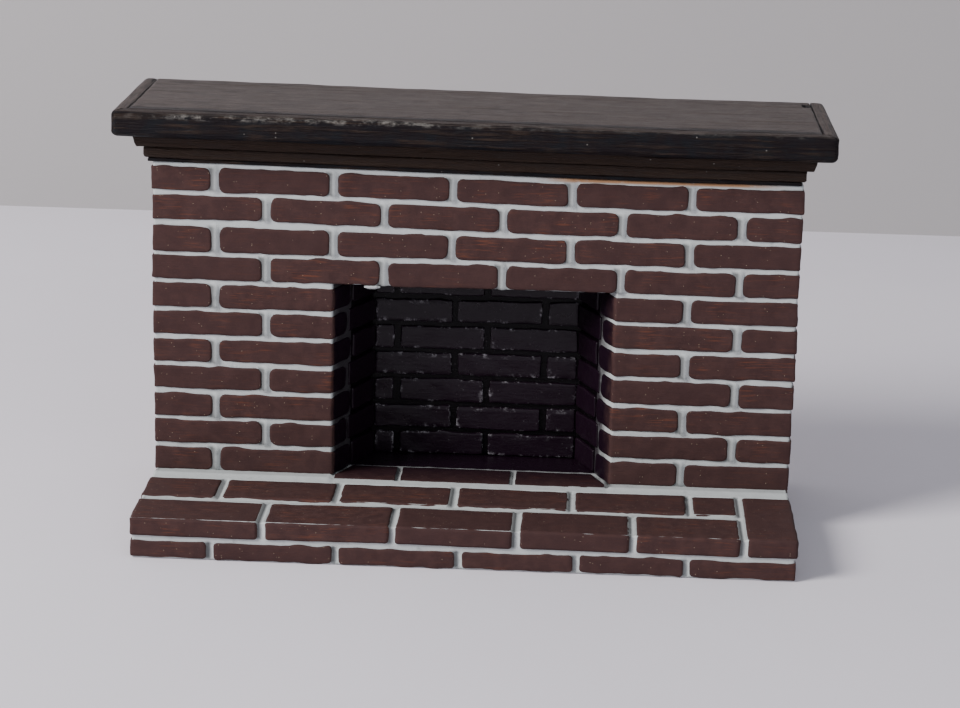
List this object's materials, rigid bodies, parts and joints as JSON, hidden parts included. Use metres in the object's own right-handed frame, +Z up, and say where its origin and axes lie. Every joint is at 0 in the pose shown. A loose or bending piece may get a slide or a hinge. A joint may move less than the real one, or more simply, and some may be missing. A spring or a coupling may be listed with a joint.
{
  "type": "miniature fireplace mantel",
  "caption": "Miniature brick fireplace with a splayed black firebox, a raised brick hearth and a dark wooden mantel shelf over stepped mouldings.",
  "frame": {"origin": "middle of the whole object's footprint, on the surface it stands on", "axes": "+X to the viewer's right, +Y from the hearth towards the back, +Z up"},
  "size_m": [0.1636, 0.0728, 0.095],
  "materials": {
    "brick": "dark red-brown brick slips, brushed matt with orange-red streaks",
    "mortar": "pale grey mortar, fine and matt",
    "soot": "black-painted firebox lining, half gloss",
    "mantel": "near-black brown stained wood, worn paler along the arrises, satin",
    "carcass": "bare close-grained wood blocks, hidden",
    "backing": "thin brown fibre-like board, plain and matt"
  },
  "bodies": {
    "root": {"back_board": "backing", "bed_moulding_front": "mantel", "bed_moulding_left": "mantel", "bed_moulding_right": "mantel", "cap_edging_front": "mantel", "cap_edging_left": "mantel", "cap_edging_right": "mantel", "firebox_back_bricks": "soot", "firebox_back_panel": "soot", "firebox_cheek_bricks_left": "soot", "firebox_cheek_bricks_right": "soot", "firebox_floor": "soot", "firebox_mortar": "soot", "hearth_block": "carcass", "hearth_end_header": "brick", "hearth_inner_course": "brick", "hearth_lower_course": "brick", "hearth_mortar": "mortar", "hearth_nosing_course": "brick", "hearth_top_course": "brick", "lintel_block": "carcass", "middle_moulding_front": "mantel", "middle_moulding_left": "mantel", "middle_moulding_right": "mantel", "pier_block_left": "carcass", "pier_block_right": "carcass", "plinth_side_course": "brick", "shelf_bed_strip": "mantel", "shelf_core": "mantel", "shelf_top_board": "mantel", "wall_course_01": "brick", "wall_course_02": "brick", "wall_course_03": "brick", "wall_course_04": "brick", "wall_course_05": "brick", "wall_course_06": "brick", "wall_course_07": "brick", "wall_course_08": "brick", "wall_course_09": "brick", "wall_course_10": "brick", "wall_course_11": "brick", "wall_mortar": "mortar"}
  },
  "joints": []
}
